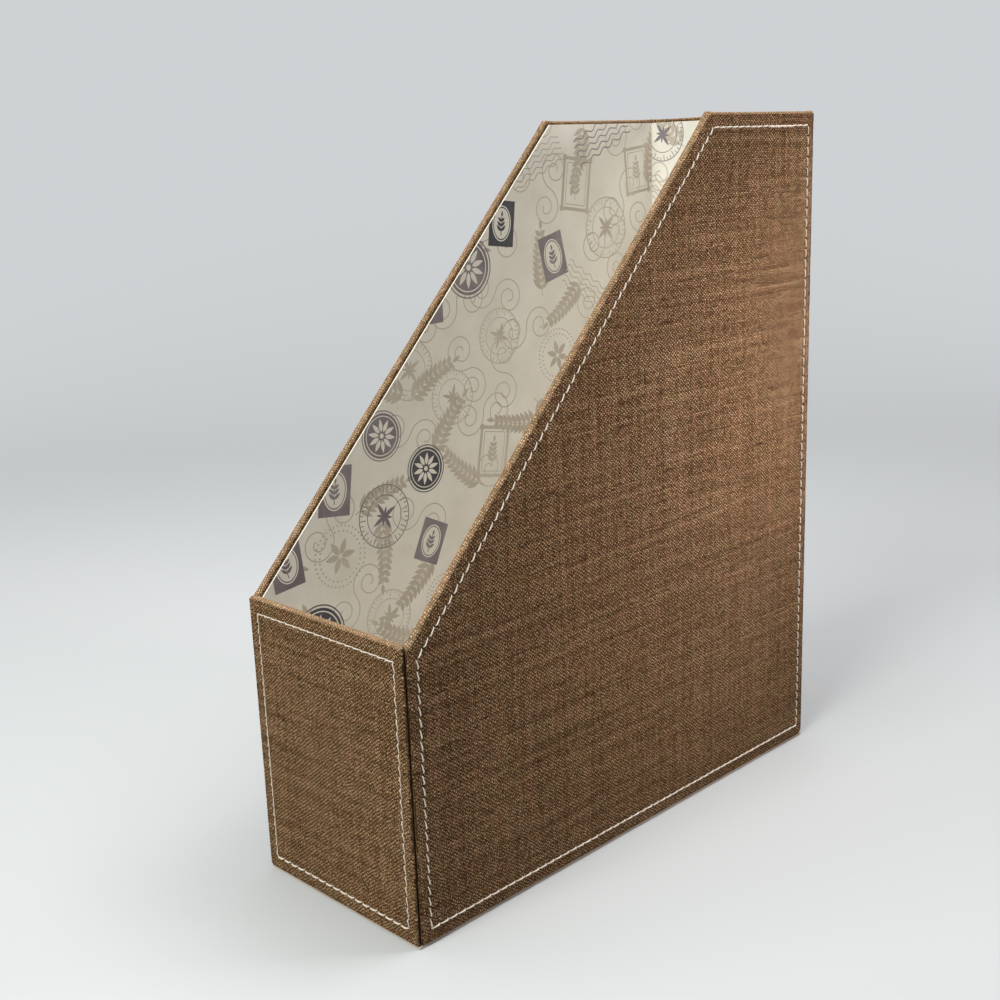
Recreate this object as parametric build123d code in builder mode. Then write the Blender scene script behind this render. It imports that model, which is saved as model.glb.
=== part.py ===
from build123d import *
import math
import os

# File holder: an open-topped box for loose papers and folders. Four boards covered in cloth
# stand on a base board, each with a row of topstitching near its edges. The inside is lined
# with printed paper on card, and a printed sheet closes the underside.
# X is the width, Y the depth with the low front wall facing -Y, and Z is up.
# The origin is in the middle of the underside.

# Outside, over the cloth
width = 94.5
depth = 256.0
height = 300.0
front_height = 119.5  # top of the low front wall
knee_drop = 2.6  # how far below it the slope of the side walls meets the front
top_length = 78.3  # level part of the side walls' top, from the back

# Walls
board_thickness = 2.4  # grey board inside the cloth
cloth_thickness = 0.5
edge_roll = 1.0  # radius of the cloth where it turns over an edge
turn_in = 15.0  # cloth turned to the inside of a wall, from its edge
tip_cloth = 0.35  # cloth left over the blunted tip of a mitred board
joint_reach = 1.05  # the mitring blocks are this much taller than the walls

# Topstitching
stitch_inset = 6.0  # from a wall's edge to the seam
stitch_pitch = 4.5
stitch_gap = 0.8  # needle hole between two stitches
stitch_slant = 5.0  # degrees that each stitch lies off the seam
thread_width = 0.7
thread_height = 0.45
seam_width = 1.4  # the seam presses a shallow channel into the cloth
seam_depth = 0.2

# Lining and underside
lining_gap = 0.4  # glue and slack behind the lining
card_thickness = 0.8
paper_thickness = 0.2
rim_reveal = 1.6  # cloth that shows above the lining
sheet_thickness = 1.0  # printed sheet under the base
sheet_inset = 1.5  # how far it stays inside the walls' outline

# Sizes that follow
wall = board_thickness + 2 * cloth_thickness
base_top = sheet_thickness + board_thickness
lining_face = wall + lining_gap
print_face = lining_face + card_thickness
lining_back = print_face + paper_thickness
slope_run = depth - top_length

front_face = Plane(origin=(0, -depth / 2, 0), x_dir=(1, 0, 0), z_dir=(0, -1, 0))
back_face = Plane(origin=(0, depth / 2, 0), x_dir=(-1, 0, 0), z_dir=(0, 1, 0))
right_face = Plane(origin=(width / 2, 0, 0), x_dir=(0, 1, 0), z_dir=(1, 0, 0))
left_face = Plane(origin=(-width / 2, 0, 0), x_dir=(0, -1, 0), z_dir=(-1, 0, 0))


def upright_outline(top):
    """The rectangle of the front or back wall, seen from outside."""
    return [
        (-width / 2, sheet_thickness),
        (width / 2, sheet_thickness),
        (width / 2, top),
        (-width / 2, top),
    ]


def right_outline():
    """The five corners of the right wall, seen from outside."""
    return [
        (-depth / 2, sheet_thickness),
        (depth / 2, sheet_thickness),
        (depth / 2, height),
        (slope_run - depth / 2, height),
        (-depth / 2, front_height - knee_drop),
    ]


def left_outline():
    """The right wall's corners mirrored, in the same turning direction."""
    return [(-x, z) for x, z in reversed(right_outline())]


def inset(outline, distance):
    """The outline moved inwards, with every edge the same distance in."""
    moved = []
    for i, (x, z) in enumerate(outline):
        before = Vector(x, z) - Vector(*outline[i - 1])
        after = Vector(*outline[(i + 1) % len(outline)]) - Vector(x, z)
        n1 = Vector(-before.Y, before.X).normalized()
        n2 = Vector(-after.Y, after.X).normalized()
        shift = (n1 + n2) * (distance / (1 + n1.dot(n2)))
        moved.append((x + shift.X, z + shift.Y))
    return moved


def mitred_slab(face, outline, length, near, far, step):
    """A wall-shaped slab between two depths behind a face, its two ends mitred.

    The outline and the mitres are set back by step."""
    plan = Plane(origin=face.origin, x_dir=face.x_dir, z_dir=(0, 0, 1))
    back_off = length / 2 - step * math.sqrt(2)
    with BuildPart() as slab:
        with BuildSketch(face.offset(-near)):
            Polygon(*inset(outline, step), align=None)
        extrude(amount=near - far)
        with BuildSketch(plan):
            Polygon(
                (near - back_off, near),
                (back_off - near, near),
                (back_off - far, far),
                (far - back_off, far),
                align=None,
            )
        extrude(amount=height * joint_reach, mode=Mode.INTERSECT)
    return slab.part


def rolled_edges(slab, face, outline):
    """The edges of a slab that the cloth rolls over."""
    outside = slab.faces().sort_by(Axis(face.origin, face.z_dir))[-1]
    inside = slab.faces().sort_by(Axis(face.origin, face.z_dir))[0]
    corners = [edge for edge in slab.edges() if joins(edge, face)]
    rims = [edge for edge in inside.edges() if on_rim(edge, outline)]
    return outside.edges() + corners + rims


def joins(edge, face):
    """True for an edge that runs from the outside face to the inside one."""
    ends = [face.to_local_coords(edge.position_at(t)).Z for t in (0, 1)]
    return abs(ends[0] - ends[1]) > wall / 2


def on_rim(edge, outline):
    """True for an edge that is level or sloping and above the foot of the wall."""
    ends = [edge.position_at(t) for t in (0, 1)]
    upright = abs(ends[0].X - ends[1].X) + abs(ends[0].Y - ends[1].Y) < edge_roll
    return not upright and min(end.Z for end in ends) > outline[0][1] + edge_roll


def wall_board(face, outline, length):
    """The grey board of one wall, with blunted mitres so that no tip cuts the cloth."""
    half_mitre = math.radians(22.5)
    tip_to_roll = edge_roll * (1 / math.sin(half_mitre) - 1)
    tip_to_board = cloth_thickness / math.sin(half_mitre)
    blunt = max(tip_to_roll + tip_cloth - tip_to_board, tip_cloth) / math.cos(half_mitre)
    slab = mitred_slab(
        face, outline, length, cloth_thickness, wall - cloth_thickness, cloth_thickness
    )
    with BuildPart() as board:
        add(slab)
        outside = board.faces().sort_by(Axis(face.origin, face.z_dir))[-1]
        tips = outside.edges().filter_by(Axis.Z)
        chamfer(tips, blunt)
    return board.part


def wall_cover(face, outline, length, board):
    """The cloth of one wall: outside, round every edge and turned in on the inside."""
    slab = mitred_slab(face, outline, length, 0, wall, 0)
    with BuildPart() as cover:
        add(slab)
        fillet(rolled_edges(cover.part, face, outline), edge_roll)
        add(board, mode=Mode.SUBTRACT)
        with BuildSketch(face.offset(-wall)):
            Polygon(*inset(outline, turn_in), align=None)
        extrude(amount=cloth_thickness, mode=Mode.SUBTRACT)
        with BuildSketch(face):
            Polygon(*inset(outline, stitch_inset - seam_width / 2), align=None)
            Polygon(
                *inset(outline, stitch_inset + seam_width / 2),
                align=None,
                mode=Mode.SUBTRACT,
            )
        extrude(amount=-seam_depth, mode=Mode.SUBTRACT)
    return cover.part


def stitch_places(outline):
    """Where each stitch of a seam lies, evenly spaced along each edge of it."""
    seam = inset(outline, stitch_inset)
    places = []
    for i, start in enumerate(seam):
        run = Vector(*seam[(i + 1) % len(seam)]) - Vector(*start)
        count = max(1, round(run.length / stitch_pitch))
        angle = math.degrees(math.atan2(run.Y, run.X)) + stitch_slant
        for k in range(count):
            middle = Vector(*start) + run * ((k + 0.5) / count)
            places.append(Location((middle.X, middle.Y, 0), (0, 0, angle)))
    return places


def stitch_row(face, outline):
    """The topstitching of one wall, each stitch lying in the seam's channel."""
    with BuildPart() as row:
        with BuildSketch(face.offset(-seam_depth)):
            with Locations(*stitch_places(outline)):
                SlotOverall(stitch_pitch - stitch_gap, thread_width)
        extrude(amount=thread_height)
    return row.part


def lining_layer(face, outline, reach, near, far):
    """One layer of a wall's lining between two depths behind its face."""
    with BuildPart() as layer:
        with BuildSketch(face.offset(-near)):
            Polygon(*inset(outline, rim_reveal), align=None)
            with Locations((0, base_top + height / 2)):
                Rectangle(2 * reach, height, mode=Mode.INTERSECT)
        extrude(amount=near - far)
    return layer.part


def write(part, name):
    """One sub-part under its own name."""
    part.label = name
    export_step(part, f"parts/{name}.step")


os.makedirs("parts", exist_ok=True)

# The side linings run the whole depth, and the front and back ones stand between them
side_reach = depth / 2 - lining_face
end_reach = width / 2 - lining_back
walls = {
    "front": (front_face, upright_outline(front_height), width, end_reach),
    "back": (back_face, upright_outline(height), width, end_reach),
    "left": (left_face, left_outline(), depth, side_reach),
    "right": (right_face, right_outline(), depth, side_reach),
}

for side, (face, outline, length, reach) in walls.items():
    board = wall_board(face, outline, length)
    write(board, f"board_{side}")
    write(wall_cover(face, outline, length, board), f"cover_{side}")
    write(stitch_row(face, outline), f"stitching_{side}")
    write(lining_layer(face, outline, reach, lining_face, print_face), f"lining_card_{side}")
    write(lining_layer(face, outline, reach, print_face, lining_back), f"lining_print_{side}")

# Base board, between the walls and flush with their lower edges
with BuildPart() as board_base:
    with BuildSketch(Plane.XY.offset(sheet_thickness)):
        Rectangle(width - 2 * wall, depth - 2 * wall)
    extrude(amount=board_thickness)
write(board_base.part, "board_base")

# Lining of the bottom, inside the wall linings
with BuildPart() as lining_card_base:
    with BuildSketch(Plane.XY.offset(base_top)):
        Rectangle(width - 2 * lining_back, depth - 2 * lining_back)
    extrude(amount=card_thickness)
write(lining_card_base.part, "lining_card_base")

with BuildPart() as lining_print_base:
    with BuildSketch(Plane.XY.offset(base_top + card_thickness)):
        Rectangle(width - 2 * lining_back, depth - 2 * lining_back)
    extrude(amount=paper_thickness)
write(lining_print_base.part, "lining_print_base")

# Printed sheet glued under the base, which the holder stands on
with BuildPart() as base_sheet:
    with BuildSketch(Plane.XY):
        Rectangle(width - 2 * sheet_inset, depth - 2 * sheet_inset)
    extrude(amount=sheet_thickness)
write(base_sheet.part, "base_sheet")
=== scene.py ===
import math
import random

import bpy
import numpy as np
from mathutils import Euler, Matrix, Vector
from mathutils.geometry import delaunay_2d_cdt


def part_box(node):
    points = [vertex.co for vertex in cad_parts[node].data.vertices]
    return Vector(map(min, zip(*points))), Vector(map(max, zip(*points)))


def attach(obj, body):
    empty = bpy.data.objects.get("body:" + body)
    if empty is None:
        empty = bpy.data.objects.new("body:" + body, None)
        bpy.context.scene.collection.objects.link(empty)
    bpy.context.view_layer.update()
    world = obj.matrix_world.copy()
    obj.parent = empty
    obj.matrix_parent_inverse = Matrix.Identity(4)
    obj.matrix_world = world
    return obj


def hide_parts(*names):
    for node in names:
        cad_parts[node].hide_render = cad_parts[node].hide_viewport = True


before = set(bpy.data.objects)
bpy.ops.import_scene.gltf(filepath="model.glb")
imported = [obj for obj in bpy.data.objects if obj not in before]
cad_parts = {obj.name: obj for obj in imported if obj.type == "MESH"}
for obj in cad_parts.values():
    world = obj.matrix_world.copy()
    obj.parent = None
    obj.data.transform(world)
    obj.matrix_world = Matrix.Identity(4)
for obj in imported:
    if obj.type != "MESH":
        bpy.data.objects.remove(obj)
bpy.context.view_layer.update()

# Sizes in metres, read from the frame where it has them
MM = 0.001
side_low, side_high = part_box("cover_right")
DEPTH = -2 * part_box("cover_front")[0][1]
WIDTH = 2 * side_high[0]
HEIGHT = side_high[2]
FOOT = side_low[2]
FRONT_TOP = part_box("cover_front")[1][2]
WALL = side_high[0] - side_low[0]
RIM_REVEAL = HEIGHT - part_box("lining_print_back")[1][2]
RIGHT_REVEAL = 2.4 * MM  # the right wall's lining hides behind its rim
TOP_LENGTH = 78.3 * MM  # level part of the side walls' top, from the back
KNEE_DROP = 2.6 * MM  # how far below the front's top the slope meets it

# Cloth
CLOTH = 0.5 * MM
SIDE_ROLL = 1.2 * MM  # radius of the cloth where it turns over a side wall's edge
END_ROLL = 0.7 * MM  # and over the front and back walls' edges
CORNER_GAP = 0.5 * MM  # each wall stops this far short at the corner, and they touch inside
WRAP_STEP = 0.75 * MM  # between mesh points round a wall
WEFT_SPACING = 0.75 * MM  # a coarse weave, whose threads can be seen one by one
WARP_SPACING = 0.94 * MM
FOLD_LIFT = 0.35 * MM  # the cloth lies double at the upper corners
FOLD_REACH = 4.5 * MM
FILL_STEP = 7 * MM  # between mesh points in the middle of a wall
MIDDLE_INSET = 13 * MM  # where the close rings round a wall's edge end

# Boards and cards
BOARD_END = 3.4 * MM  # the boards stop this far short of the corners
CARD = 0.45 * MM
SHEET_INSET = 0.7 * MM  # the sheet under the base stays this far inside the walls

# Seams
SEAM_INSET = 6.0 * MM
STITCH_PITCH = 4.5 * MM
BACKTACK_STITCHES = range(2, 6)  # sewn twice, where a side's top row begins

# Printed paper
PAPER = 0.2 * MM
INK_STEP = 0.01 * MM  # each layer of ink lies this much over the one below
INK_FILM = 0.0002 * MM  # and each shape in a layer this much over the last
INK_FILMS = 40  # shapes, before they start again at the lowest
MOTIF_SPACING = 27.0  # millimetres between the middles of two motifs


class Face:
    """A flat side of the holder, with u along it, v up it and w standing out from it."""

    def __init__(self, origin, across, up=(0, 0, 1)):
        self.origin = np.array(origin, float)
        self.across = np.array(across, float)
        self.up = np.array(up, float)
        self.out = np.cross(self.across, self.up)
        self.axis = int(np.argmax(np.abs(self.out)))  # of the frame, that w runs along

    def place(self, points):
        """Points in u, v and w to the shared frame."""
        points = np.asarray(points)
        return self.origin + points @ np.stack([self.across, self.up, self.out])


def upright(top):
    """Outline of an end wall, seen from outside."""
    half = WIDTH / 2
    return [(-half, FOOT), (half, FOOT), (half, top), (-half, top)]


def sloping():
    """Outline of the right wall, seen from outside."""
    half = DEPTH / 2
    slope_top = (half - TOP_LENGTH, HEIGHT)
    knee = (-half, FRONT_TOP - KNEE_DROP)
    return [(-half, FOOT), (half, FOOT), (half, HEIGHT), slope_top, knee]


def mirrored(outline):
    """The outline as it is seen from the other side."""
    return [(-u, v) for u, v in reversed(outline)]


# Each wall's face, outline and length
WALLS = {
    "front": (Face((0, -DEPTH / 2, 0), (1, 0, 0)), upright(FRONT_TOP), WIDTH),
    "back": (Face((0, DEPTH / 2, 0), (-1, 0, 0)), upright(HEIGHT), WIDTH),
    "right": (Face((WIDTH / 2, 0, 0), (0, 1, 0)), sloping(), DEPTH),
    "left": (Face((-WIDTH / 2, 0, 0), (0, -1, 0)), mirrored(sloping()), DEPTH),
}
FLOOR = Face((0, 0, 0), (1, 0, 0), (0, 1, 0))


def linear(code):
    """An sRGB hex colour as the linear red, green, blue and alpha that shaders take."""
    parts = [int(code[i:i + 2], 16) / 255 for i in (1, 3, 5)]
    return [p / 12.92 if p <= 0.04045 else ((p + 0.055) / 1.055) ** 2.4 for p in parts] + [1.0]


def node(tree, kind, inputs=None, **settings):
    """Adds one shader node. An input takes a value, a socket, or a node's first output."""
    made = tree.nodes.new("ShaderNode" + kind)
    for key, value in settings.items():
        setattr(made, key, value)
    for key, value in (inputs or {}).items():
        if isinstance(value, bpy.types.Node):
            value = value.outputs[0]
        if isinstance(value, bpy.types.NodeSocket):
            tree.links.new(value, made.inputs[key])
        else:
            made.inputs[key].default_value = value
    return made


def new_material(name):
    """An empty node material and its tree."""
    material = bpy.data.materials.new(name)
    material.use_nodes = True
    material.node_tree.nodes.clear()
    return material, material.node_tree


def added(name, data):
    """A new object in the scene, from its mesh, camera or light."""
    made = bpy.data.objects.new(name, data)
    bpy.context.scene.collection.objects.link(made)
    return made


def made_piece(name, points, faces, materials, face_materials=None, maps=None, smooth=True):
    """A piece from its points and faces.

    maps has the flat places of each face's corners, by the map's name."""
    mesh = bpy.data.meshes.new(name)
    mesh.from_pydata(np.asarray(points).tolist(), [], faces)
    for key, places in (maps or {}).items():
        layer = mesh.uv_layers.new(name=key)
        layer.uv.foreach_set("vector", np.asarray(places, np.float32).ravel())
    for material in materials:
        mesh.materials.append(material)
    if face_materials:
        mesh.polygons.foreach_set("material_index", face_materials)
    mesh.polygons.foreach_set("use_smooth", [smooth] * len(faces))
    mesh.update()
    piece = added(name, mesh)
    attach(piece, "root")
    return piece


# Outlines


def inset(outline, distance):
    """The outline moved inwards, or outwards for a negative distance."""
    points = np.array(outline)
    before = points - np.roll(points, 1, axis=0)
    after = np.roll(points, -1, axis=0) - points
    normals = []
    for edge in (before, after):
        normal = np.stack([-edge[:, 1], edge[:, 0]], axis=1)
        normals.append(normal / np.linalg.norm(normal, axis=1, keepdims=True))
    spread = 1 + (normals[0] * normals[1]).sum(axis=1, keepdims=True)
    return points + (normals[0] + normals[1]) * distance / spread


def edges(outline):
    """The start, direction and length of each edge of an outline."""
    points = np.array(outline)
    for start, end in zip(points, np.roll(points, -1, axis=0)):
        length = np.linalg.norm(end - start)
        yield start, (end - start) / length, length


def along_outline(outline, counts):
    """Points round an outline, each edge cut into its own count of steps."""
    points = []
    for (start, run, length), count in zip(edges(outline), counts):
        points += [start + run * length * k / count for k in range(count)]
    return np.array(points)


def within(shape, outline):
    """The part of a convex shape that lies inside a convex outline."""
    for start, run, _ in edges(outline):
        kept = []
        for i, end in enumerate(shape):
            before = np.subtract(shape[i - 1], start)
            after = np.subtract(end, start)
            side_before = run[0] * before[1] - run[1] * before[0]
            side_after = run[0] * after[1] - run[1] * after[0]
            if (side_before >= 0) != (side_after >= 0):
                share = side_before / (side_before - side_after)
                kept.append(tuple(start + before + (after - before) * share))
            if side_after >= 0:
                kept.append(tuple(end))
        shape = kept
        if len(shape) < 3:
            return []
    return shape


def ripple(u, v, lengths, seed):
    """Smooth uneven relief from -1 to 1: a few crossing waves of about these lengths."""
    draw = random.Random(seed)
    total = np.zeros(len(u))
    for length in lengths:
        for _ in range(3):
            angle = draw.uniform(0, math.pi)
            reach = u * math.cos(angle) + v * math.sin(angle)
            wave = 2 * math.pi / (length * draw.uniform(0.7, 1.3))
            total += np.sin(wave * reach + draw.uniform(0, 2 * math.pi))
    return total / (3 * len(lengths))


def filled(outline, ring, step):
    """Inner points on a staggered grid, and the triangles that fill a ring with them.

    The outline has the corners of the ring, to tell what lies inside it."""
    low, high = ring.min(axis=0), ring.max(axis=0)
    lines = list(edges(outline))
    inner = []
    for row in range(1, int((high[1] - low[1]) / step)):
        v = low[1] + row * step
        for u in np.arange(low[0] + step * (0.5 + 0.5 * (row % 2)), high[0], step):
            gaps = [
                run[0] * (v - start[1]) - run[1] * (u - start[0]) for start, run, _ in lines
            ]
            if min(gaps) > step * 0.4:
                inner.append((u, v))
    points = [Vector(p) for p in ring] + [Vector(p) for p in inner]
    border = [(i, (i + 1) % len(ring)) for i in range(len(ring))]
    found, _, triangles, _, _, _ = delaunay_2d_cdt(points, border, [], 1, 1e-9)
    return np.array([tuple(p) for p in found])[len(ring):], triangles


# Cloth covers


def wall_planes(outline, length, step):
    """The flat sides of a wall as normals and offsets, each side moved in by step.

    They are its level and sloping edges, its two mitred ends, its outside and its inside."""
    rows = []
    for start, run, _ in edges(outline):
        if abs(run[0]) > 0.1:  # not an upright edge
            normal = np.array((run[1], -run[0]))
            rows.append((*normal, 0, normal @ start - step))
    mitre = np.array((WALL, 0, CORNER_GAP - WALL))
    mitre /= np.linalg.norm(mitre)
    for way in (-1, 1):
        reach = (length / 2 - CORNER_GAP) * mitre[0]
        rows.append((way * mitre[0], 0, mitre[2], reach - step))
    rows.append((0, 0, 1, -step))
    rows.append((0, 0, -1, WALL - step))
    return [(np.array(row[:3]), row[3]) for row in rows]


def nearest_inside(points, planes, rounds=50):
    """The nearest place to each point in the solid that the planes enclose."""
    found = points.copy()
    kept = [np.zeros_like(points) for _ in planes]
    for _ in range(rounds):
        for i, (normal, offset) in enumerate(planes):
            tried = found + kept[i]
            over = np.maximum(tried @ normal - offset, 0)
            found = tried - over[:, None] * normal
            kept[i] = tried - found
    return found


def rolled(points, outline, length):
    """Points moved onto the wall with rolled edges, and which way each one faces."""
    roll = SIDE_ROLL if length == DEPTH else END_ROLL
    mitres = wall_planes(outline, length, 0)[-4:-2]
    sharp = nearest_inside(points, mitres, rounds=1)
    core = nearest_inside(sharp, wall_planes(outline, length, roll))
    away = sharp - core
    away /= np.linalg.norm(away, axis=1, keepdims=True)
    return core + away * roll, away


def cover_stations():
    """Rings from inside the seam, round the edge, to the end of the turn-in, in millimetres.

    Each is the inset, the depth behind the face and the inset on the flat cloth."""
    wall = WALL / MM
    outside = [MIDDLE_INSET / MM, 10, 8.6, 7.8, 7.2, 6.8, 6.4, 6.1, 5.9, 5.6, 5.2, 4.7]
    outside += [4, 3.3, 2.7, 2.2, 1.8, 1.4, 1.1, 0.8, 0.5, 0.2]
    stations = [(d, 0, d) for d in outside]
    for w in (0, 0.3, 0.6, 0.9, 1.3, 1.9, wall - 1.1, wall - 0.8, wall - 0.5, wall - 0.2):
        stations.append((0, -w, -w))
    for d in (0.1, 0.4, 0.8, 1.2, 2, 3.5, 6, 11):
        stations.append((d, -wall, -wall - d))
    return stations


def seam_relief(aside, along):
    """The seam draws the cloth in, most at its needle holes, and the cloth swells beside it.

    aside is in millimetres from the seam, and along in stitches."""
    hole = 0.5 + 0.5 * np.cos(2 * math.pi * along)
    valley = np.exp(-((aside / 0.8) ** 2)) * (0.5 + 0.5 * hole)
    bank = np.exp(-(((np.abs(aside) - 2.0) / 1.1) ** 2)) * (0.6 + 0.4 * hole)
    return (0.10 * bank - 0.30 * valley) * MM


def folded_corners(points, facing, outline):
    """The cloth lies double at a wall's upper corners, which makes them bulky."""
    lift = np.zeros(len(points))
    for u, v in outline:
        if v > FRONT_TOP / 2:  # not a foot
            reach = np.hypot(points[:, 0] - u, points[:, 1] - v)
            lift += np.exp(-((reach / FOLD_REACH) ** 2))
    return FOLD_LIFT * lift * np.clip(facing[:, 1:].max(axis=1), 0, 1)


def cloth_relief(flat, seed):
    """How far the glued cloth stands off its board here and there."""
    u, v = flat[:, 0], flat[:, 1]
    waves = ripple(u, v, (60 * MM, 34 * MM), seed)
    crinkle = ripple(u, v, (11 * MM, 6 * MM), seed + 1)
    return (0.06 * waves + 0.025 * crinkle) * MM


def seam_counts(outline):
    """How many stitches run along each edge of the seam."""
    seam = inset(outline, SEAM_INSET)
    return [max(1, round(length / STITCH_PITCH)) for _, _, length in edges(seam)]


def seam_places(flat_ring, outline, distance, edge_of):
    """Each ring point's place along and beside the seam: in stitches and in millimetres.

    edge_of says which edge of the outline a point counts along."""
    counts = seam_counts(outline)
    places = np.empty((len(flat_ring), 2))
    for i, (start, run, length) in enumerate(edges(inset(outline, SEAM_INSET))):
        rows = edge_of == i
        places[rows, 0] = (flat_ring[rows] - start) @ run / length * counts[i]
    places[:, 1] = distance - SEAM_INSET / MM
    return places


def cover_board(name, seed, material):
    """The cloth of one wall: outside, round every edge and turned in on the inside."""
    face, outline, length = WALLS[name]
    counts = [max(2, round(run / WRAP_STEP)) for _, _, run in edges(outline)]
    total = sum(counts)
    edge_of = np.repeat(np.arange(len(counts)), counts)
    ends_edge = np.roll(edge_of, 1) != edge_of
    sharp, flats, seams, closing = [], [], [], []
    for d, w, flat in cover_stations():
        ring = along_outline(inset(outline, d * MM), counts)
        flat_ring = along_outline(inset(outline, flat * MM), counts)
        sharp.append(np.column_stack([ring, np.full(total, w * MM)]))
        flats.append(flat_ring)
        seams.append(seam_places(flat_ring, outline, flat, edge_of))
        # The last point of each edge is the next edge's first, seen from this one
        closing.append(seam_places(flat_ring, outline, flat, np.roll(edge_of, 1)))
    sharp, flats = np.concatenate(sharp), np.concatenate(flats)
    seams, closing = np.concatenate(seams), np.concatenate(closing)
    shaped, facing = rolled(sharp, outline, length)
    relief = cloth_relief(flats, seed) + seam_relief(seams[:, 1], seams[:, 0])
    relief += folded_corners(shaped, facing, outline)
    shaped += facing * relief[:, None]

    faces, corners = [], []
    for r in range(len(cover_stations()) - 1):
        for k in range(total):
            after = (k + 1) % total
            a, b = r * total, (r + 1) * total
            faces.append((b + k, b + after, a + after, a + k))
            far = closing if ends_edge[after] else seams
            corners += [seams[b + k], far[b + after], far[a + after], seams[a + k]]

    ring_end = inset(outline, MIDDLE_INSET)
    inner, triangles = filled(ring_end, sharp[:total, :2], FILL_STEP)
    start = len(shaped)
    middle = np.column_stack([inner, cloth_relief(inner, seed)])
    shaped, flats = np.concatenate([shaped, middle]), np.concatenate([flats, inner])
    for triangle in triangles:
        faces.append(tuple(i if i < total else start + i - total for i in triangle))
        corners += [(0.5, 50)] * 3
    flats = flats[[i for shape in faces for i in shape]]
    threads = flats / (WARP_SPACING, WEFT_SPACING)
    maps = {"cloth_flat": flats, "threads": threads, "seam": corners}
    piece = made_piece(f"cloth_cover_{name}", face.place(shaped), faces, [material], maps=maps)
    thicken = piece.modifiers.new("cloth_thickness", "SOLIDIFY")
    thicken.thickness = CLOTH
    thicken.offset = -1
    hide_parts(f"cover_{name}")


# Topstitching


def strand(path, radii):
    """A round thread along a path of u, v and w, as its points, faces and flat places."""
    sides = 8
    points, places, faces, flats = [], [], [], []
    travelled = 0.0
    for i, centre in enumerate(path):
        ahead = path[min(i + 1, len(path) - 1)] - path[max(i - 1, 0)]
        ahead = ahead / np.linalg.norm(ahead)
        aside = np.cross(ahead, (0, 0, 1.0))
        aside = aside / np.linalg.norm(aside)
        over = np.cross(aside, ahead)
        if i:
            travelled += np.linalg.norm(centre - path[i - 1]) / MM
        for k in range(sides):
            turn = 2 * math.pi * k / sides
            points.append(centre + (aside * math.cos(turn) + over * math.sin(turn)) * radii[i])
        places.append(travelled)
    for i in range(len(path) - 1):
        for k in range(sides):
            after = (k + 1) % sides
            a, b = i * sides, (i + 1) * sides
            faces.append((b + k, b + after, a + after, a + k))
            near, far = k / sides, (k + 1) / sides
            flats += [(places[i + 1], near), (places[i + 1], far)]
            flats += [(places[i], far), (places[i], near)]
    last = (len(path) - 1) * sides
    faces += [tuple(range(sides)), tuple(range(last + sides - 1, last - 1, -1))]
    flats += [(0, 0)] * 2 * sides
    return points, faces, flats


# A stitch's slant and thread radius in millimetres, the share of its pitch that shows, and
# its height over the cloth at these shares of its length, from needle hole to needle hole
STITCH_SHARES = (0, 0.09, 0.18, 0.5, 0.78, 0.87, 0.94, 1)
RAISED = (0.17, 0.34, 0.90, (-0.6, -0.05, 0.20, 0.34, 0.44, 0.34, -0.05, -0.6))
SLANTED = (0.30, 0.28, 0.80, (-0.32, 0.02, 0.18, 0.28, 0.38, 0.32, 0.04, -0.36))
TAUT = (0.05, 0.27, 0.96, (-0.32, -0.06, 0.06, 0.14, 0.24, 0.18, -0.02, -0.32))
SUNK = (0.14, 0.25, 0.94, (-0.45, -0.22, -0.12, -0.05, 0.24, 0.16, -0.14, -0.45))


def stitch(start, run, length, style, draw, at_corner, aside):
    """One stitch: it comes up thin from a needle hole, rises, and drops into the next hole.

    at_corner says whether its first and last hole lie at a corner of the seam."""
    across = np.array((-run[1], run[0], 0))
    along = np.array((run[0], run[1], 0))
    slant, radius, shown, heights = style
    slant = (slant + draw.uniform(-0.04, 0.04)) * MM
    heights = np.array(heights)
    heights[3:6] += draw.uniform(-0.06, 0.06)
    # Two threads share the hole at a corner, and fill it
    if at_corner[0]:
        heights[0] = -0.15
    if at_corner[1]:
        heights[-1] = -0.15
    path, radii = [], []
    for t in np.linspace(0, 1, 13):
        point = np.array((*start, 0)) + along * length * (0.5 + shown * (t - 0.5))
        point += across * (aside + slant * (2 * t - 1))
        point[2] = np.interp(t, STITCH_SHARES, heights) * MM
        path.append(point)
        radii.append(radius * MM * np.interp(t, (0, 0.2, 0.75, 1), (0.7, 0.78, 1.05, 0.85)))
    return strand(path, radii)


def stitch_seam(name, seed, material):
    """The topstitching of one wall, with a few doubled stitches where a side's row begins."""
    face, outline, _ = WALLS[name]
    draw = random.Random(seed)
    points, faces, flats = [], [], []
    counts = seam_counts(outline)
    for i, (start, run, length) in enumerate(edges(inset(outline, SEAM_INSET))):
        pitch = length / counts[i]
        level = abs(run[1]) < 0.01
        side_top = len(outline) == 5 and level and start[1] > HEIGHT / 2
        style = RAISED if level else SLANTED
        if len(outline) == 4:
            # The upright rows of the end walls are sunk, and their top row is taut
            style = SUNK if not level else RAISED if i == 0 else TAUT
        for k in range(counts[i]):
            at = start + run * pitch * k
            ends = (k == 0, k == counts[i] - 1)
            drift = draw.uniform(-0.05, 0.05) * MM
            sewn = [stitch(at, run, pitch, style, draw, ends, drift)]
            if side_top and (k if name == "right" else counts[i] - 1 - k) in BACKTACK_STITCHES:
                again = at + run * pitch / 2
                sewn.append(stitch(again, run, pitch, style, draw, (False, False), 0.25 * MM))
            for new_points, new_faces, new_flats in sewn:
                base = len(points)
                points += new_points
                faces += [tuple(base + j for j in shape) for shape in new_faces]
                flats += new_flats
    maps = {"thread_flat": flats}
    piece = made_piece(f"topstitching_{name}", face.place(points), faces, [material], maps=maps)
    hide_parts(f"stitching_{name}")


# Boards and cards


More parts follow.
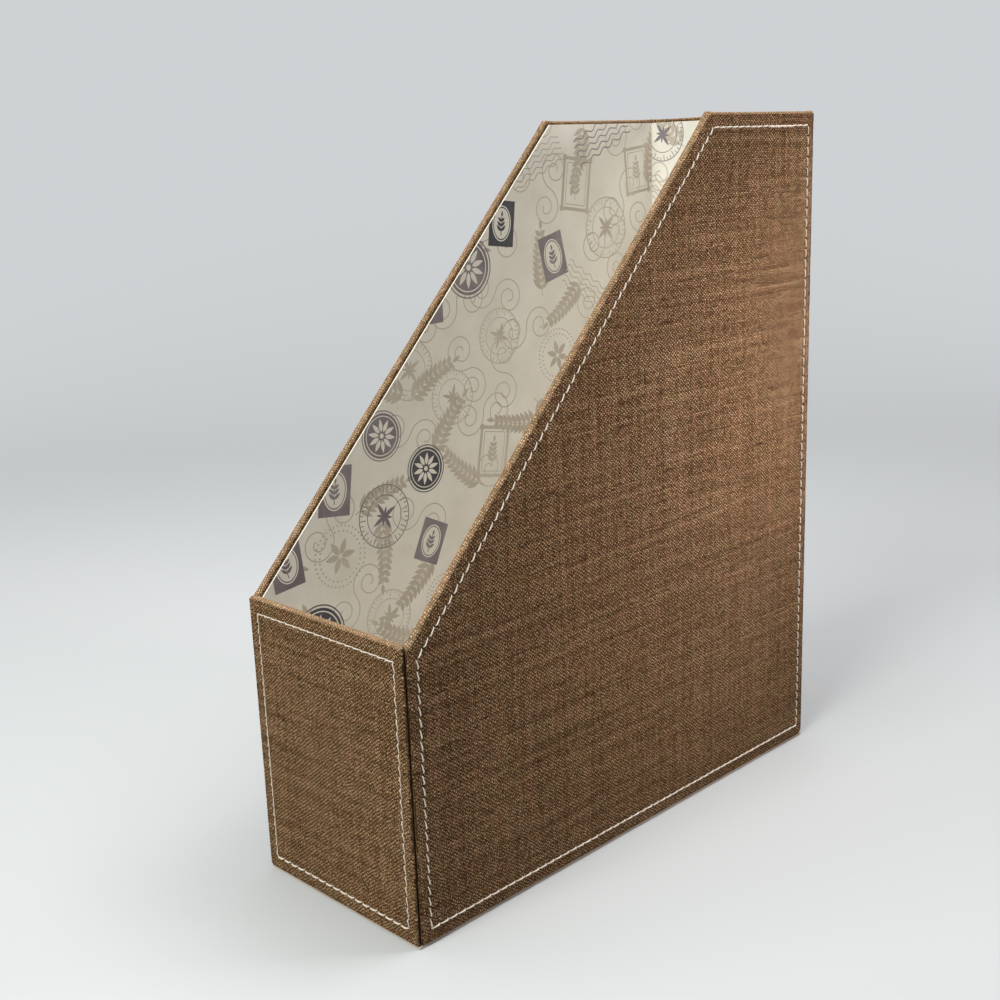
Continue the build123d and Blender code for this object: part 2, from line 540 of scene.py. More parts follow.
def flat_sheet(outline, near, far):
    """Points and faces of a flat sheet between two distances out from its face."""
    count = len(outline)
    points = [(u, v, w) for w in (near, far) for u, v in outline]
    faces = [tuple(range(count - 1, -1, -1)), tuple(range(count, 2 * count))]
    for k in range(count):
        after = (k + 1) % count
        faces.append((k, after, count + after, count + k))
    return points, faces


def slab(name, face, outline, near, far, material, replaced):
    """A flat piece in one material."""
    points, faces = flat_sheet(outline, near, far)
    piece = made_piece(name, face.place(points), faces, [material], smooth=False)
    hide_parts(replaced)


def upright_strip(reach, foot):
    """A tall rectangle about a wall's middle, to cut a sheet's ends to length."""
    return [(-reach, foot), (reach, foot), (reach, HEIGHT), (-reach, HEIGHT)]


def lining_outline(name, low, high):
    """A lining sheet's outline, seen from inside the holder, within its box in the frame."""
    face, outline, _ = WALLS[name]
    reveal = RIGHT_REVEAL if name == "right" else RIM_REVEAL
    room = upright_strip(high[1 - face.axis], low[2])
    return within(room, mirrored(inset(outline, reveal)))


def stiffen_walls(board, card):
    """The grey board inside each wall, and the thin card that the printed paper lies on."""
    for name, (face, outline, length) in WALLS.items():
        room = upright_strip(length / 2 - BOARD_END, FOOT)
        inner = within(room, inset(outline, 2 * CLOTH))
        slab(
            f"grey_board_{name}", face, inner, 2 * CLOTH - WALL, -2 * CLOTH, board,
            f"board_{name}",
        )
        low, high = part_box(f"lining_card_{name}")
        axis = face.axis
        print_side = abs(face.origin[axis]) - min(abs(low[axis]), abs(high[axis]))
        sheet = lining_outline(name, low, high)
        slab(
            f"lining_card_sheet_{name}", Face(face.origin, -face.across), sheet,
            print_side - CARD, print_side, card, f"lining_card_{name}",
        )


# Printed motifs, in millimetres round their own middle. Each is a list of an ink, a layer
# and a convex shape, and a higher layer covers a lower one.


def spun(shapes, degrees, shift=(0, 0), scale=1.0):
    """Shapes turned, scaled and then moved."""
    cos, sin = math.cos(math.radians(degrees)), math.sin(math.radians(degrees))
    return [
        (ink, layer, [
            ((x * cos - y * sin) * scale + shift[0], (x * sin + y * cos) * scale + shift[1])
            for x, y in shape
        ])
        for ink, layer, shape in shapes
    ]


def disc(ink, layer, radius, sides=40, stretch=1.0):
    """A filled circle or oval."""
    turns = [2 * math.pi * k / sides for k in range(sides)]
    round_shape = [(radius * math.cos(t), stretch * radius * math.sin(t)) for t in turns]
    return [(ink, layer, round_shape)]


def band(ink, layer, inner, outer):
    """The strip between two paths of points."""
    return [
        (ink, layer, [inner[k], outer[k], outer[k + 1], inner[k + 1]])
        for k in range(len(inner) - 1)
    ]


def ring(ink, layer, radius, thickness, stretch=1.0):
    """A round or oval line."""
    turns = [2 * math.pi * k / 48 for k in range(49)]
    reach = radius + thickness
    inner = [(radius * math.cos(t), stretch * radius * math.sin(t)) for t in turns]
    outer = [(reach * math.cos(t), stretch * reach * math.sin(t)) for t in turns]
    return band(ink, layer, inner, outer)


def stroke(ink, layer, path, thickness):
    """A drawn line along a path."""
    left, right = [], []
    for i, (x, y) in enumerate(path):
        x0, y0 = path[max(i - 1, 0)]
        x1, y1 = path[min(i + 1, len(path) - 1)]
        size = math.hypot(x1 - x0, y1 - y0)
        nx, ny = (y0 - y1) / size * thickness / 2, (x1 - x0) / size * thickness / 2
        left.append((x + nx, y + ny))
        right.append((x - nx, y - ny))
    return band(ink, layer, left, right)


def leaf(ink, layer, length, width):
    """A pointed leaf from the origin along x."""
    steps = [k / 6 for k in range(7)]
    lower = [(length * t, -width / 2 * math.sin(math.pi * t ** 0.8)) for t in steps]
    upper = [(length * t, width / 2 * math.sin(math.pi * t ** 0.8)) for t in steps[-2:0:-1]]
    return [(ink, layer, lower + upper)]


def frame_line(ink, layer, half_wide, half_high, thickness):
    """The outline of a rectangle."""
    corners = [(-half_wide, -half_high), (half_wide, -half_high)]
    corners += [(half_wide, half_high), (-half_wide, half_high)]
    shapes = []
    for i, start in enumerate(corners):
        shapes += stroke(ink, layer, [start, corners[(i + 1) % 4]], thickness)
    return shapes


def panel(ink, layer, half_wide, half_high):
    """A filled rectangle."""
    corners = [(-1, -1), (1, -1), (1, 1), (-1, 1)]
    return [(ink, layer, [(half_wide * x, half_high * y) for x, y in corners])]


def flower(ink, layer, petals, reach, width, hollow=0.0):
    """Petals round a middle that stays hollow."""
    shapes = []
    for k in range(petals):
        turn = 2 * math.pi * k / petals
        away = (hollow * math.cos(turn), hollow * math.sin(turn))
        shapes += spun(leaf(ink, layer, reach, width), 360 * k / petals, away)
    return shapes


def sprig(ink, layer, length, leaves, size):
    """A bowed stem with pairs of leaves that get smaller towards its tip."""
    path = [(length * t / 10, 0.05 * length * math.sin(math.pi * t / 10)) for t in range(11)]
    shapes = stroke(ink, layer, path, 0.45)
    for k in range(leaves):
        t = (k + 1) / (leaves + 1)
        at = (length * t, 0.05 * length * math.sin(math.pi * t))
        for way in (1, -1):
            shapes += spun(leaf(ink, layer, size * (1.15 - 0.6 * t), size * 0.36), way * 48, at)
    return shapes + spun(leaf(ink, layer, size * 0.7, size * 0.3), 0, path[-1])


def rosette_medallion(ink):
    """A dark round medallion with a pale flower."""
    shapes = disc(ink, 1, 10.5) + ring("bare", 2, 8.9, 0.5) + ring(ink, 1, 11.3, 0.5)
    return shapes + flower("bare", 2, 10, 6.2, 2.2, 1.9) + disc("bare", 2, 1.2, 16)


def notched_diamond(ink):
    """A dark square stood on its corner, with notched edges and pale leaves."""
    shapes = panel(ink, 1, 9.2, 9.2)
    for k in range(8):
        notch = spun(disc("bare", 2, 0.62, 10), 0, (-8.4 + 2.4 * k, 9.2))
        for turn in range(4):
            shapes += spun(notch, 90 * turn)
    shapes += frame_line("bare", 2, 7.2, 7.2, 0.45) + flower("bare", 2, 4, 6.0, 3.2, 0.7)
    return spun(shapes, 45) + spun(flower(ink, 3, 4, 4.2, 0.9, 1.4), 45)


def compass_rings(ink):
    """Fine rings with ticks between them round a star."""
    shapes = ring(ink, 1, 12.4, 0.45) + ring(ink, 1, 8.4, 0.35)
    for k in range(36):
        size = 2.6 if k % 3 == 0 else 1.3
        shapes += spun(stroke(ink, 1, [(12.2 - size, 0), (12.2, 0)], 0.35), 10 * k)
    return shapes + flower(ink, 1, 4, 6.6, 1.8) + spun(flower(ink, 1, 4, 4.2, 1.2), 45)


def garden_panel(ink):
    """An upright bordered panel with a sprig in it."""
    shapes = frame_line(ink, 1, 8.6, 11.2, 1.5) + frame_line(ink, 1, 6.6, 9.2, 0.4)
    shapes += spun(sprig(ink, 1, 11.5, 4, 4.6), 90, (0, -6.8))
    for x in (-8.6, 8.6):
        for y in (-11.2, 11.2):
            shapes += spun(disc(ink, 1, 1.5, 16), 0, (x, y))
    return shapes


def oval_panel(ink):
    """A dark upright panel with a pale oval and a sprig in it."""
    shapes = panel(ink, 1, 8.0, 10.4) + disc("bare", 2, 6.0, stretch=1.36)
    shapes += ring(ink, 3, 5.0, 0.4, stretch=1.4)
    return shapes + spun(sprig(ink, 3, 8.6, 3, 4.0), 90, (0, -5.6))


def water_lines(ink):
    """Rows of waves."""
    shapes = []
    for row in range(5):
        path = [(-17 + k, 2.6 * (row - 2) + 0.8 * math.sin(k * 0.9)) for k in range(35)]
        shapes += stroke(ink, 1, path, 0.45)
    return shapes


def long_fern(ink):
    """A faint frond across its own middle."""
    return spun(sprig(ink, 0, 30, 9, 7.0), 0, (-15, 0))


def scroll(ink):
    """Two opposed spirals on one stem."""
    path = []
    for k in range(44):
        reach = 9.0 * (1 - k / 50)
        path.append((9 - reach * math.cos(0.26 * k), reach * math.sin(0.26 * k)))
    shapes = stroke(ink, 0, path, 0.5)
    return shapes + spun(shapes, 180)


def dotted_rings(ink):
    """Rings of dots round a flower."""
    shapes = []
    for radius, count in ((11.5, 40), (9.4, 30)):
        for k in range(count):
            shapes += spun(spun(disc(ink, 1, 0.42, 8), 0, (radius, 0)), 360 * k / count)
    return shapes + flower(ink, 1, 6, 6.4, 2.6, 0.6)


# Each motif's ink, and how far it may be turned either way
BOLD = (
    (notched_diamond, "charcoal", 25),
    (oval_panel, "charcoal", 30),
    (rosette_medallion, "charcoal", 180),
    (oval_panel, "mauve", 40),
    (rosette_medallion, "mauve", 180),
    (garden_panel, "mauve", 30),
)
FINE = (
    (compass_rings, "faded", 180),
    (garden_panel, "faded", 20),
    (water_lines, "mauve", 35),
    (dotted_rings, "faded", 180),
    (compass_rings, "mauve", 180),
    (water_lines, "faded", 35),
)
FAINT = ((long_fern, "faded", 180), (scroll, "faded", 180))


def scattered(outline, spacing, draw):
    """Places over an outline in millimetres, none nearer to another than the spacing."""
    low, high = np.min(outline, axis=0) / MM, np.max(outline, axis=0) / MM
    places = []
    for _ in range(1500):
        at = (draw.uniform(low[0], high[0]), draw.uniform(low[1], high[1]))
        if all(math.dist(at, other) > spacing for other in places):
            places.append(at)
    return places


def printed_shapes(outline, seed):
    """Every inked shape on one sheet, cut at its edges."""
    draw = random.Random(seed)
    shapes = []
    for at in scattered(outline, MOTIF_SPACING * 0.8, draw):
        motif, ink, turn = draw.choice(FAINT)
        shapes += spun(motif(ink), draw.uniform(-turn, turn), at)
    for i, at in enumerate(scattered(outline, MOTIF_SPACING, draw)):
        motif, ink, turn = draw.choice(BOLD if i % 5 < 2 else FINE)
        shapes += spun(motif(ink), draw.uniform(-turn, turn), at, draw.uniform(0.9, 1.15))
    for ink, layer, shape in shapes:
        cut = within([(x * MM, y * MM) for x, y in shape], outline)
        if cut:
            yield ink, layer, cut


def print_sheet(name, face, outline, near, seed, papers):
    """A sheet of printed paper that starts this far out from its face."""
    points, faces = flat_sheet(outline, near, near + PAPER)
    inks = [0] * len(faces)
    for number, (ink, layer, shape) in enumerate(printed_shapes(outline, seed)):
        base = len(points)
        level = near + PAPER + INK_STEP * (layer + 1) + INK_FILM * (number % INK_FILMS)
        points += [(u, v, level) for u, v in shape]
        faces.append(tuple(range(base, len(points))))
        inks.append(list(papers).index(ink))
    piece = made_piece(
        f"printed_{name}", face.place(points), faces, papers.values(), inks, smooth=False
    )
    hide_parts(f"lining_print_{name}")


def hang_linings(papers):
    """The printed paper on the inside of each wall, over its card."""
    for number, (name, (face, _, _)) in enumerate(WALLS.items()):
        low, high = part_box(f"lining_print_{name}")
        axis = face.axis
        near = abs(face.origin[axis]) - max(abs(low[axis]), abs(high[axis]))
        sheet = lining_outline(name, low, high)
        print_sheet(name, Face(face.origin, -face.across), sheet, near, 40 + number, papers)


def lay_floor_paper(papers):
    """The printed paper in the bottom."""
    low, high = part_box("lining_print_base")
    outline = [(low[0], low[1]), (high[0], low[1]), (high[0], high[1]), (low[0], high[1])]
    print_sheet("base", FLOOR, outline, low[2], 50, papers)


def lay_base_sheet(material):
    """The sheet under the base, cut just short of the walls' outside."""
    low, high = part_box("base_sheet")
    x, y = WIDTH / 2 - SHEET_INSET, DEPTH / 2 - SHEET_INSET
    outline = [(-x, -y), (x, -y), (x, y), (-x, y)]
    slab(
        "printed_base_sheet", FLOOR, outline, low[2], high[2], material, "base_sheet",
    )


def finish_plain_layers(finishes):
    """Materials of the pieces that keep the frame's own shape, by how their names begin."""
    for name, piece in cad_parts.items():
        for start, finish in finishes.items():
            if name.startswith(start):
                piece.data.materials.clear()
                piece.data.materials.append(finish)


# Materials


PER_MM = 1 / MM  # the scale of a noise whose patches are about a millimetre wide


def weave(tree, flat):
    """Which crossing of the threads is at a place, if the weft is on top, and its height.

    A crossing is a cell as large as the threads' spacing, with the weft on top in every
    second one. The threads sway over about 4 mm and drift over about 55 mm."""
    sway = node(tree, "TexNoise", {"Vector": flat, "Scale": 0.26 * PER_MM, "Detail": 2.0})
    sway = node(tree, "VectorMath", {
        0: sway.outputs["Color"], 1: (2, 2, 2), 2: (-1, -1, -1),
    }, operation="MULTIPLY_ADD")
    drift = node(tree, "TexNoise", {"Vector": flat, "Scale": 0.018 * PER_MM, "Detail": 1.0})
    drift = node(tree, "VectorMath", {
        0: drift.outputs["Color"], 1: (3, 3, 3), 2: sway,
    }, operation="MULTIPLY_ADD")
    threads = node(tree, "UVMap", uv_map="threads")
    threads = node(tree, "VectorMath", {0: threads, 1: drift}, operation="ADD")
    cell = node(tree, "VectorMath", {0: threads}, operation="FLOOR")
    number = node(tree, "SeparateXYZ", {0: cell})
    both = node(tree, "Math", {0: number.outputs[0], 1: number.outputs[1]}, operation="ADD")
    weft_up = node(tree, "Math", {0: both, 1: 1.0}, operation="PINGPONG")

    # Both threads are round, and the upper one is highest along its middle
    aside = node(tree, "VectorMath", {0: threads}, operation="FRACTION")
    aside = node(tree, "VectorMath", {
        0: aside, 1: (2, 2, 2), 2: (-1, -1, -1),
    }, operation="MULTIPLY_ADD")
    square = node(tree, "VectorMath", {0: aside, 1: aside}, operation="MULTIPLY")
    section = node(tree, "VectorMath", {0: (1, 1, 1), 1: square}, operation="SUBTRACT")
    section = node(tree, "SeparateXYZ", {0: section})
    warp, weft = section.outputs[0], section.outputs[1]
    crown = node(tree, "Math", {0: warp, 1: weft}, operation="MULTIPLY")
    upper = node(tree, "Mix", {0: weft_up, 2: warp, 3: weft})
    upper = node(tree, "Math", {0: upper, 1: 0.35}, operation="MULTIPLY")
    height = node(tree, "Math", {0: crown, 1: 0.65, 2: upper}, operation="MULTIPLY_ADD")
    return cell, weft_up, height


def yarn_shade(tree, flat, cell, weft_up, height):
    """How light the yarn is, from 0 in the gaps, which get painted shade, to 1, and where a
    thread is thick.
    """
    number = node(tree, "SeparateXYZ", {0: cell})
    place = node(tree, "SeparateXYZ", {0: flat})

    # Each thread has its own tone, and thick and thin places about 11 mm long. The wefts'
    # numbers start so high that no warp has the same one.
    weft_number = node(tree, "Math", {0: number.outputs[1], 1: 5000.0}, operation="ADD")
    thread = node(tree, "Mix", {0: weft_up, 2: number.outputs[0], 3: weft_number})
    tone = node(tree, "TexWhiteNoise", {"W": thread}, noise_dimensions="1D")
    along = node(tree, "Mix", {0: weft_up, 2: place.outputs[1], 3: place.outputs[0]})
    row = node(tree, "Math", {0: thread, 1: 0.0373}, operation="MULTIPLY")
    slub_place = node(tree, "CombineXYZ", {0: along, 1: row})
    slub = node(tree, "TexNoise", {
        "Vector": slub_place, "Scale": 0.09 * PER_MM, "Detail": 3.0, "Roughness": 0.6,
    })
    crossing = node(tree, "TexWhiteNoise", {"Vector": cell}, noise_dimensions="2D")

    # Single fibres are too fine to show, so they are drawn half a millimetre wide. Streaks
    # of 80 × 3 mm follow the weft, dark knots of 13 × 2.4 mm are scattered along it, and
    # lines 2.4 mm wide follow the warp.
    fibre = node(tree, "TexNoise", {"Vector": flat, "Scale": 2.1 * PER_MM, "Detail": 1.0})
    drawn = []
    for across, up, detail in ((0.012, 0.33, 1.5), (0.42, 0.009, 1.0), (0.075, 0.42, 0.0)):
        scales = (across * PER_MM, up * PER_MM, 1.0)
        spot = node(tree, "VectorMath", {0: flat, 1: scales}, operation="MULTIPLY")
        drawn.append(node(tree, "TexNoise", {"Vector": spot, "Scale": 1.0, "Detail": detail}))
    streak, line, knot = drawn
    knot = node(tree, "MapRange", {0: knot, 1: 0.74, 2: 0.82})

    # Some wefts are thick for about 40 mm, and are drawn with a painted highlight on the row
    # beside each and painted shade along it
    thick_weft_light_and_shade = []
    for shift in (1.0, 0.0):
        beside = node(tree, "Math", {0: number.outputs[1], 1: shift}, operation="ADD")
        spot = node(tree, "CombineXYZ", {0: place.outputs[0], 1: beside})
        scales = (0.024 * PER_MM, 0.73, 1.0)
        spot = node(tree, "VectorMath", {0: spot, 1: scales}, operation="MULTIPLY")
        ridge = node(tree, "TexNoise", {"Vector": spot, "Scale": 1.0, "Detail": 1.0})
        thick_weft_light_and_shade.append(node(tree, "MapRange", {0: ridge, 1: 0.55, 2: 0.72}))

    # Each pattern counts with its own weight, and what is taken off brings the mean to the
    # middle two of the cloth's colours
    # The threads' height sets painted shade in the gaps between them, darkest where they are
    # lowest
    shade = node(tree, "Math", {0: height, 1: 0.49, 2: -1.12}, operation="MULTIPLY_ADD")
    weights = (
        (weft_up, 0.31), (tone, 0.08), (slub, 0.11), (crossing, 0.24), (fibre, 1.45),
        (streak, 0.31), (line, 0.24), (thick_weft_light_and_shade[0], 0.06), (thick_weft_light_and_shade[1], -0.08), (knot, -0.14),
    )
    for source, weight in weights:
        shade = node(tree, "Math", {0: source, 1: weight, 2: shade}, operation="MULTIPLY_ADD")
    return shade, slub


def needle_hole_shade(tree):
    """How much painted shade darkens the seam's needle holes: 0.7 in the middle, and none from
    0.7 mm away.
    """
    seam = node(tree, "SeparateXYZ", {0: node(tree, "UVMap", uv_map="seam")})
    step = node(tree, "Math", {0: seam.outputs[0], 1: 0.5}, operation="ADD")
    step = node(tree, "Math", {0: step}, operation="FRACT")
    pitch = STITCH_PITCH / MM
    step = node(tree, "Math", {0: step, 1: pitch, 2: -0.5 * pitch}, operation="MULTIPLY_ADD")
    reach = node(tree, "CombineXYZ", {0: step, 1: seam.outputs[1]})
    reach = node(tree, "VectorMath", {0: reach}, operation="LENGTH")
    return node(tree, "MapRange", {
        0: reach.outputs["Value"], 1: 0.25, 2: 0.7, 3: 0.7, 4: 0.0,
    }, interpolation_type="SMOOTHSTEP")


def bookcloth():
    """Linen bookcloth, plain woven from uneven brown yarn and glued to its board.

    It is dull and slightly fuzzy. Its crossings repeat every two threads, the gaps between
    threads are darkened with painted shade, and thick places in the yarn show as streaks."""
    material, tree = new_material("linen_bookcloth")
    flat = node(tree, "UVMap", uv_map="cloth_flat")
    cell, weft_up, height = weave(tree, flat)
    shade, slub = yarn_shade(tree, flat, cell, weft_up, height)
    ramp = node(tree, "ValToRGB", {0: shade})
    stops = ((0.12, "#130a04"), (0.42, "#412b17"), (0.68, "#8b6645"), (1.0, "#d8bc9e"))
    while len(ramp.color_ramp.elements) < len(stops):
        ramp.color_ramp.elements.new(0.5)
    for element, (at, code) in zip(ramp.color_ramp.elements, stops):
        element.position = at
        element.color = linear(code)

    # The dye is a little redder or greener in patches of about 9 mm
    mottle = node(tree, "TexNoise", {"Vector": flat, "Scale": 0.11 * PER_MM, "Detail": 3.0})
    hue = node(tree, "MapRange", {0: mottle, 1: 0.35, 2: 0.65})
    tint = node(tree, "Mix", {
        0: hue, 6: linear("#fff4ee"), 7: linear("#f6f8e8"),
    }, data_type="RGBA")
    colour = node(tree, "Mix", {
        0: 1.0, 6: ramp, 7: tint.outputs[2],
    }, data_type="RGBA", blend_type="MULTIPLY")

    # Cloth that faces upwards gets painted light from above: it is made paler, and its weave is
    # partly evened out towards one light colour, which also stands for the threads spread over
    # the rims
    facing = node(tree, "SeparateXYZ", {0: node(tree, "NewGeometry").outputs["Normal"]})
    upward_painted_light = node(tree, "MapRange", {
        0: facing.outputs[2], 1: 0.0, 2: 0.5,
    }, interpolation_type="SMOOTHSTEP")
    painted_light_gain = (1.38, 1.43, 1.62, 1.0)
    colour = node(tree, "Mix", {
        0: upward_painted_light, 6: colour.outputs[2], 7: painted_light_gain,
    }, data_type="RGBA", blend_type="MULTIPLY")
    # The painted light also evens the weave a quarter of the way towards one light colour
    spread = node(tree, "Math", {0: upward_painted_light, 1: 0.25}, operation="MULTIPLY")
    colour = node(tree, "Mix", {
        0: spread, 6: colour.outputs[2], 7: linear("#b59a79"),
    }, data_type="RGBA")

    # Painted shade inside the seam's needle holes
    hole = needle_hole_shade(tree)
    colour = node(tree, "Mix", {
        0: hole, 6: colour.outputs[2], 7: linear("#120b06"),
    }, data_type="RGBA")
    lift = node(tree, "Math", {0: slub, 1: 0.4, 2: height}, operation="MULTIPLY_ADD")
    lift = node(tree, "Math", {0: hole, 1: -2.0, 2: lift}, operation="MULTIPLY_ADD")
    bump = node(tree, "Bump", {"Strength": 1.0, "Distance": 0.13 * MM, "Height": lift})
    shader = node(tree, "BsdfPrincipled", {
        "Base Color": colour.outputs[2], "Roughness": 0.88, "Specular IOR Level": 0.15,
        "Sheen Weight": 0.2, "Sheen Roughness": 0.5, "Sheen Tint": linear("#cc9f66"),
        "Normal": bump,
    })
    node(tree, "OutputMaterial", {"Surface": shader})
    return material


def sewing_thread():
    """Cream polyester thread, spun and twisted from three plies: soft and nearly matt."""
    material, tree = new_material("spun_polyester_thread")
    flat = node(tree, "SeparateXYZ", {0: node(tree, "UVMap", uv_map="thread_flat")})

    # The three plies pass 1.3 times in a millimetre. The fibres are drawn 0.4 mm wide, as
    # they are too fine to show, and the thread is soiled in patches of 6 mm.
    turns = node(tree, "Math", {0: flat.outputs[0], 1: 1.3}, operation="MULTIPLY")
    plies = node(tree, "Math", {0: flat.outputs[1], 1: 3.0, 2: turns}, operation="MULTIPLY_ADD")
    angle = node(tree, "Math", {0: plies, 1: 2 * math.pi}, operation="MULTIPLY")
    ply = node(tree, "Math", {0: angle}, operation="SINE")
    place = node(tree, "TexCoord").outputs["Object"]
    fibre = node(tree, "TexNoise", {"Vector": place, "Scale": 2.6 * PER_MM, "Detail": 2.0})
    soil = node(tree, "TexNoise", {"Vector": place, "Scale": 0.16 * PER_MM, "Detail": 1.0})
    # The plies' twist goes into the colour as painted shade in the grooves between them, on top
    # of the soiled patches
    shade = node(tree, "Math", {0: ply, 1: 0.20, 2: soil}, operation="MULTIPLY_ADD")
    ramp = node(tree, "MapRange", {0: shade, 1: 0.25, 2: 0.75})
    colour = node(tree, "Mix", {
        0: ramp, 6: linear("#efddcb"), 7: linear("#fff5e8"),
    }, data_type="RGBA")
    lift = node(tree, "Math", {0: fibre, 1: 0.5, 2: ply}, operation="MULTIPLY_ADD")
    bump = node(tree, "Bump", {"Strength": 0.45, "Distance": 0.05 * MM, "Height": lift})
    shader = node(tree, "BsdfPrincipled", {
        "Base Color": colour.outputs[2], "Roughness": 0.6, "Specular IOR Level": 0.35,
        "Sheen Weight": 0.3, "Normal": bump,
    })
    node(tree, "OutputMaterial", {"Surface": shader})
    return material


def paper(name, code, second_code, roughness=0.62):
    """Uncoated paper or card, pressed from pulp: matt, with a fine tooth and a cloudy colour.

    Ink sinks into it and is as matt. The clouds are about 22 mm wide, and the tooth is drawn
    half a millimetre wide, as it is too fine to show."""
    material, tree = new_material(name)
    place = node(tree, "TexCoord").outputs["Object"]
    cloud = node(tree, "TexNoise", {
        "Vector": place, "Scale": 0.045 * PER_MM, "Detail": 5.0, "Roughness": 0.65,
    })
    tooth = node(tree, "TexNoise", {"Vector": place, "Scale": 1.8 * PER_MM, "Detail": 2.0})
    share = node(tree, "MapRange", {0: cloud, 1: 0.38, 2: 0.66})
    colour = node(tree, "Mix", {
        0: share, 6: linear(code), 7: linear(second_code),
    }, data_type="RGBA")
    bump = node(tree, "Bump", {"Strength": 0.35, "Distance": 0.03 * MM, "Height": tooth})
    shader = node(tree, "BsdfPrincipled", {
        "Base Color": colour.outputs[2], "Roughness": roughness, "Specular IOR Level": 0.35,
        "Normal": bump,
    })
    node(tree, "OutputMaterial", {"Surface": shader})
    return material


def grey_board():
    """Pressed grey bookbinding board: dull, with specks of pulp about a millimetre wide."""
    material, tree = new_material("pressed_grey_board")
    place = node(tree, "TexCoord").outputs["Object"]
    specks = node(tree, "TexNoise", {"Vector": place, "Scale": 0.9 * PER_MM, "Detail": 4.0})
    share = node(tree, "MapRange", {0: specks, 1: 0.35, 2: 0.7})
    colour = node(tree, "Mix", {
        0: share, 6: linear("#8b8880"), 7: linear("#aba79d"),
    }, data_type="RGBA")
    bump = node(tree, "Bump", {"Strength": 0.4, "Distance": 0.05 * MM, "Height": specks})
    shader = node(tree, "BsdfPrincipled", {
        "Base Color": colour.outputs[2], "Roughness": 0.9, "Normal": bump,
    })
    node(tree, "OutputMaterial", {"Surface": shader})
    return material


# Camera, stage and light

CAMERA_PLACE = Vector((392.4, -416.7, 287.7)) * MM
CAMERA_AZIMUTH = math.radians(45.526)
CAMERA_TILT = math.radians(14.399)
CAMERA_ROLL = math.radians(-2.088)
CAMERA_LENS = 48.9  # millimetres, as is the sensor
SENSOR_WIDTH = 36.0
BACKDROP = "#cfd2d4"


def set_camera():
    """The camera at the photograph's viewing angle."""
    data = bpy.data.cameras.new("camera")
    data.sensor_width = SENSOR_WIDTH
    data.lens = CAMERA_LENS
    camera = added("camera", data)
    aim = Euler((math.pi / 2 - CAMERA_TILT, 0, CAMERA_AZIMUTH)).to_matrix()
    roll = Euler((0, 0, CAMERA_ROLL)).to_matrix()
    camera.matrix_world = (aim @ roll).to_4x4()
    camera.location = CAMERA_PLACE
    bpy.context.scene.camera = camera


def seen_directly(tree):
    """1 for a surface that is looked at, and 0 where it only lights other surfaces."""
    path = node(tree, "LightPath")
    rays = node(tree, "Math", {
        0: path.outputs["Is Camera Ray"], 1: path.outputs["Is Glossy Ray"],
    }, operation="MAXIMUM")
    return node(tree, "Math", {
        0: rays, 1: path.outputs["Is Transmission Ray"],
    }, operation="MAXIMUM")


def set_stage():
    """A pale floor that runs up into a backdrop behind the holder.

    Away from the holder it is seen in the backdrop's plain colour, from every side."""
    material, tree = new_material("pale_backdrop_paper")
    seen = seen_directly(tree)
    colour = node(tree, "Mix", {
        0: seen, 6: linear("#959697"), 7: linear("#cbcdd0"),
    }, data_type="RGBA")
    shader = node(tree, "BsdfPrincipled", {"Base Color": colour.outputs[2], "Roughness": 0.9})
    place = node(tree, "TexCoord").outputs["Object"]
    away = node(tree, "VectorMath", {0: place}, operation="LENGTH").outputs["Value"]
    far = node(tree, "MapRange", {0: away, 1: 0.5, 2: 1.4}, interpolation_type="SMOOTHSTEP")
    share = node(tree, "Math", {0: far, 1: seen}, operation="MULTIPLY")
    plain = node(tree, "Emission", {"Color": linear(BACKDROP), "Strength": 1.0})
    surface = node(tree, "MixShader", {0: share, 1: shader, 2: plain})
    node(tree, "OutputMaterial", {"Surface": surface})
    # In metres: half its width, how far back it stands, the radius of its bend, and its top
    half, back, bend, top = 3.0, 1.5, 0.7, 2.8
    profile = [(-half, 0.0), (back - bend, 0.0)]
    for k in range(1, 13):
        angle = math.pi / 2 * k / 12
        profile.append((back - bend + bend * math.sin(angle), bend - bend * math.cos(angle)))
    profile.append((back, top))
    toward = Vector((-math.sin(CAMERA_AZIMUTH), math.cos(CAMERA_AZIMUTH), 0))
    side = Vector((math.cos(CAMERA_AZIMUTH), math.sin(CAMERA_AZIMUTH), 0))
    points, faces = [], []
    for reach, height in profile:
        centre = toward * reach + Vector((0, 0, height))
        points += [centre - side * half, centre + side * half]
    for k in range(len(profile) - 1):
        faces.append((2 * k, 2 * k + 1, 2 * k + 3, 2 * k + 2))
    mesh = bpy.data.meshes.new("backdrop")
    mesh.from_pydata(points, [], faces)
    mesh.polygons.foreach_set("use_smooth", [True] * len(faces))
    mesh.materials.append(material)
    backdrop = added("backdrop", mesh)


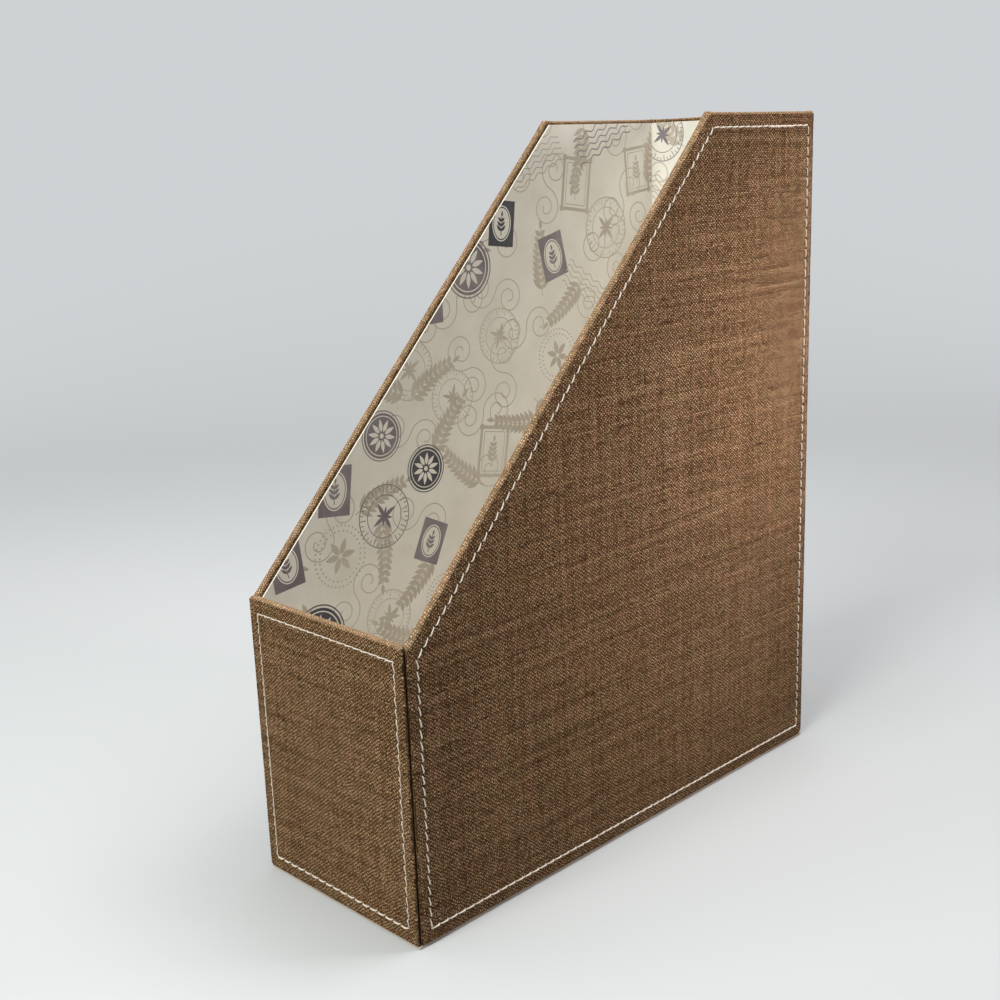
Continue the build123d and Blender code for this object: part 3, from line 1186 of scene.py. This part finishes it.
def add_lamp(name, place, size, watts, code, target=(0, 0, 0.15), spread=180):
    """A square soft light. Its spread is how wide it shines, in degrees."""
    data = bpy.data.lights.new(name, "AREA")
    data.shape = "SQUARE"
    data.size = size
    data.energy = watts
    data.color = linear(code)[:3]
    data.spread = math.radians(spread)
    lamp = added(name, data)
    lamp.location = place
    aim = Vector(target) - Vector(place)
    lamp.rotation_euler = aim.to_track_quat("-Z", "Y").to_euler()


def set_light():
    """Soft lights in front, overhead and behind, and a near one on the right wall's far end."""
    world = bpy.data.worlds.new("room")
    bpy.context.scene.world = world
    world.use_nodes = True
    tree = world.node_tree
    tree.nodes.clear()
    soft = node(tree, "Background", {"Color": linear("#f2f3f4"), "Strength": 0.03})
    pale = node(tree, "Background", {"Color": linear(BACKDROP), "Strength": 1.0})
    sky = node(tree, "MixShader", {0: seen_directly(tree), 1: soft, 2: pale})
    node(tree, "OutputWorld", {"Surface": sky})
    add_lamp("front", (0.15, -1.4, 1.2), 0.8, 20.5, "#fbfff6")
    add_lamp("overhead", (-0.08, -0.2, 1.65), 1.4, 20, "#fffffd")
    add_lamp("rear", (0.25, 0.4, 1.2), 0.5, 5.6, "#fffffe")
    add_lamp("side", (0.30, 0.25, 0.27), 0.15, 0.18, "#fff5f6", (0.047, 0.10, 0.18), 60)
    bpy.context.scene.view_settings.view_transform = "Standard"


set_camera()
set_stage()
set_light()

cloth = bookcloth()
thread = sewing_thread()
for number, name in enumerate(WALLS):
    cover_board(name, 10 * number, cloth)
    stitch_seam(name, 10 * number + 5, thread)

papers = {
    "bare": paper("uncoated_printed_paper", "#f6f1e8", "#ede7dc"),
    "charcoal": paper("charcoal_ink_on_paper", "#484851", "#615f66"),
    "mauve": paper("mauve_ink_on_paper", "#81767c", "#a0969a"),
    "faded": paper("faded_ink_on_paper", "#c6baab", "#d6ccbf"),
}
hang_linings(papers)
lay_floor_paper(papers)
card = paper("cream_card", "#ece4d4", "#e0d5c2", 0.7)
board = grey_board()
stiffen_walls(board, card)
lay_base_sheet(paper("printed_base_paper", "#e2d6c6", "#cdbcb0"))
finish_plain_layers({"lining_card_base": card, "board_base": board})
